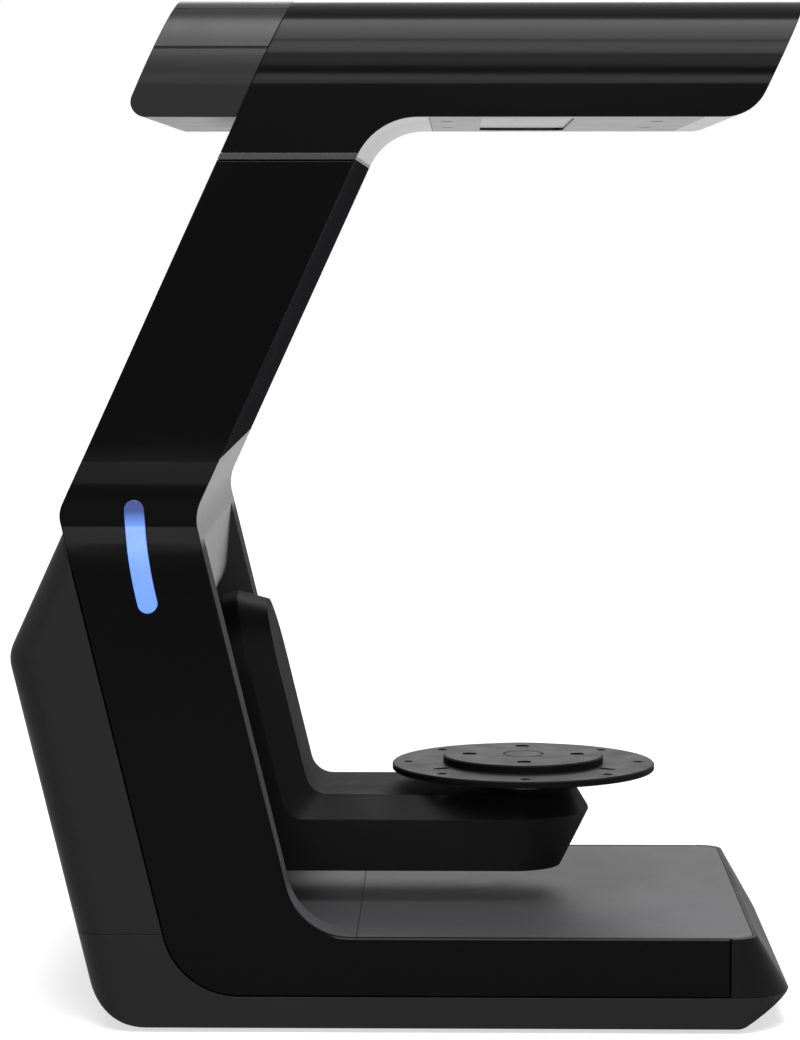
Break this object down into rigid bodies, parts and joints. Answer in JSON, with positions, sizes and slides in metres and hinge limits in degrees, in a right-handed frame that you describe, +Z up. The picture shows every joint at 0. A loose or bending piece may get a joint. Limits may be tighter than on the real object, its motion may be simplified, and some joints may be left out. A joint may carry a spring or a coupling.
{
  "type": "desktop 3d scanner",
  "caption": "Desktop 3D scanner with a C-shaped stand, an overhead camera and projector head, and a turntable on an arm that swings from side to side.",
  "frame": {"origin": "on the floor under the middle of the bounding box", "axes": "+X to the right of the user, +Y to the back, +Z up; the open side of the C and the front edge of the base face -Y"},
  "size_m": [0.222, 0.3233, 0.42],
  "materials": {
    "gloss_black": "high gloss, moulded",
    "matte_dark": "fine matte texture",
    "satin_dark": "satin",
    "satin_grey": "satin, light texture",
    "silver_trim": "satin",
    "light_guide": "clear, frosted inside",
    "window_glass": "tinted, polished",
    "lens_glass": "coated, polished",
    "disc_black": "black anodised",
    "steel": "brushed",
    "screw_steel": "blackened",
    "cast_aluminium": "as cast",
    "bearing_steel": "ground",
    "motor_black": "satin",
    "belt_rubber": "matte",
    "foot_rubber": "matte",
    "board_green": "solder mask",
    "spacer_brass": "plain",
    "port_plastic": "matte",
    "port_metal": "plated",
    "button_plastic": "satin",
    "camera_black": "matte"
  },
  "bodies": {
    "stand": {"head_cover": "gloss_black", "head_rear_cap": "satin_grey", "head_bottom_cover": "satin_dark", "optical_window": "window_glass", "head_screws": "screw_steel", "neck_trim": "silver_trim", "side_panel_left": "gloss_black", "side_panel_right": "gloss_black", "light_guide_left": "light_guide", "light_guide_right": "light_guide", "camera_left": "camera_black", "camera_right": "camera_black", "camera_lens_left": "lens_glass", "camera_lens_right": "lens_glass", "arm_front_cover": "satin_dark", "arm_rear_cover": "matte_dark", "column_front_cover": "satin_dark", "column_rear_cover": "matte_dark", "front_trim": "gloss_black", "base_top_cover": "satin_grey", "base_tray": "matte_dark", "rubber_feet": "foot_rubber", "tray_screws": "screw_steel", "base_plate": "steel", "column_frame": "cast_aluminium", "arm_beam": "cast_aluminium", "optics_bench": "cast_aluminium", "projector_body": "camera_black", "projector_lens": "lens_glass", "projector_heat_sink": "cast_aluminium", "fan_frame": "port_plastic", "main_board": "board_green", "board_spacers": "spacer_brass", "io_board": "board_green", "dc_inlet": "port_plastic", "usb_port": "port_metal", "power_switch": "port_plastic", "led_boards": "board_green", "swing_bearing_housing": "cast_aluminium", "swing_bearings": "bearing_steel", "swing_motor": "motor_black", "swing_belt": "belt_rubber"},
    "swing_arm": {"swing_arm_shell": "matte_dark", "swing_arm_bottom_cover": "matte_dark", "swing_shaft": "steel", "swing_driven_pulley": "cast_aluminium", "turntable_motor": "motor_black", "turntable_belt": "belt_rubber", "turntable_bearing_housing": "cast_aluminium", "turntable_bearings": "bearing_steel"},
    "turntable": {"turntable_hub": "steel", "turntable_disc": "disc_black", "centre_plate": "disc_black", "centre_plate_screws": "screw_steel", "turntable_driven_pulley": "cast_aluminium"},
    "swing_drive_pulley": {"swing_motor_pulley": "cast_aluminium"},
    "turntable_drive_pulley": {"turntable_motor_pulley": "cast_aluminium"},
    "fan": {"fan_rotor": "port_plastic"},
    "button": {"power_button": "button_plastic"}
  },
  "joints": [
    {"name": "swing_tilt", "type": "hinge", "parent": "stand", "child": "swing_arm", "pos_m": [0, 0.06647, 0.132], "axis": [0, -0.9715, 0.2368], "range_deg": [-45, 45]},
    {"name": "swing_motor_spin", "type": "hinge", "parent": "stand", "child": "swing_drive_pulley", "pos_m": [0, 0.04989, 0.06399], "axis": [0, -0.9715, 0.2368], "range_deg": [-140, 140]},
    {"name": "turntable_spin", "type": "hinge", "parent": "swing_arm", "child": "turntable", "pos_m": [0, -0.0496, 0.0948], "axis": [0, 0, 1], "continuous": true},
    {"name": "turntable_motor_spin", "type": "hinge", "parent": "swing_arm", "child": "turntable_drive_pulley", "pos_m": [0, 0.005, 0.075], "axis": [0, 0, 1], "continuous": true},
    {"name": "fan_spin", "type": "hinge", "parent": "stand", "child": "fan", "pos_m": [0, 0.0785, 0.3947], "axis": [0, 1, 0], "continuous": true},
    {"name": "power_press", "type": "slide", "parent": "stand", "child": "button", "axis": [0, -0.9715, 0.2368], "range_m": [0, 0.0015], "stiffness_N_per_m": 300}
  ],
  "couplings": [
    {"joint": "swing_motor_spin", "follows": "swing_tilt", "ratio": 3},
    {"joint": "turntable_motor_spin", "follows": "turntable_spin", "ratio": 2.5}
  ]
}
